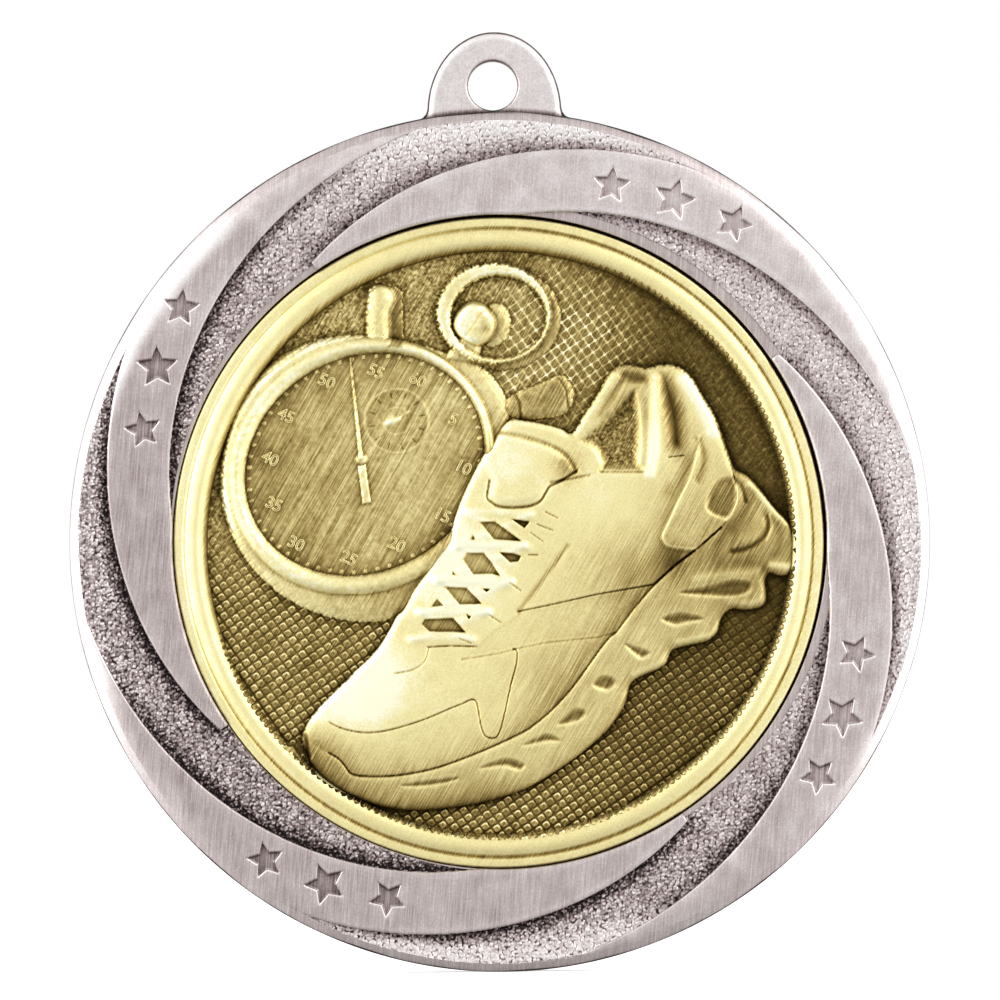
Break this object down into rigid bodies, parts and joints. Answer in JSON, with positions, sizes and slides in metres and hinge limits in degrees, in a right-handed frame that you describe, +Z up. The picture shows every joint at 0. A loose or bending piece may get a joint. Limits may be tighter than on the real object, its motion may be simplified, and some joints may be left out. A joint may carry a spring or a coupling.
{
  "type": "sports medal",
  "caption": "Round two-tone finisher medal: cast silver frame with swirl bands, sunk stars and a ribbon lug, and a struck gold insert showing a stopwatch and a running shoe.",
  "frame": {"origin": "centre of the disc, on its flat back face", "axes": "+Z up through the ribbon lug, -Y out of the decorated front, +X to the right of someone facing the front; the back lies in the plane y = 0"},
  "size_m": [0.07, 0.0044, 0.0765],
  "materials": {
    "antique_silver": "antique silver plate on zinc die casting, brushed high spots over dark hollows",
    "antique_gold": "antique gold plate, bright high spots over dark olive hollows",
    "white_foam": "double-sided foam adhesive"
  },
  "bodies": {
    "root": {"medal_frame": "antique_silver", "centre_insert": "antique_gold", "adhesive_pad": "white_foam"}
  },
  "joints": []
}
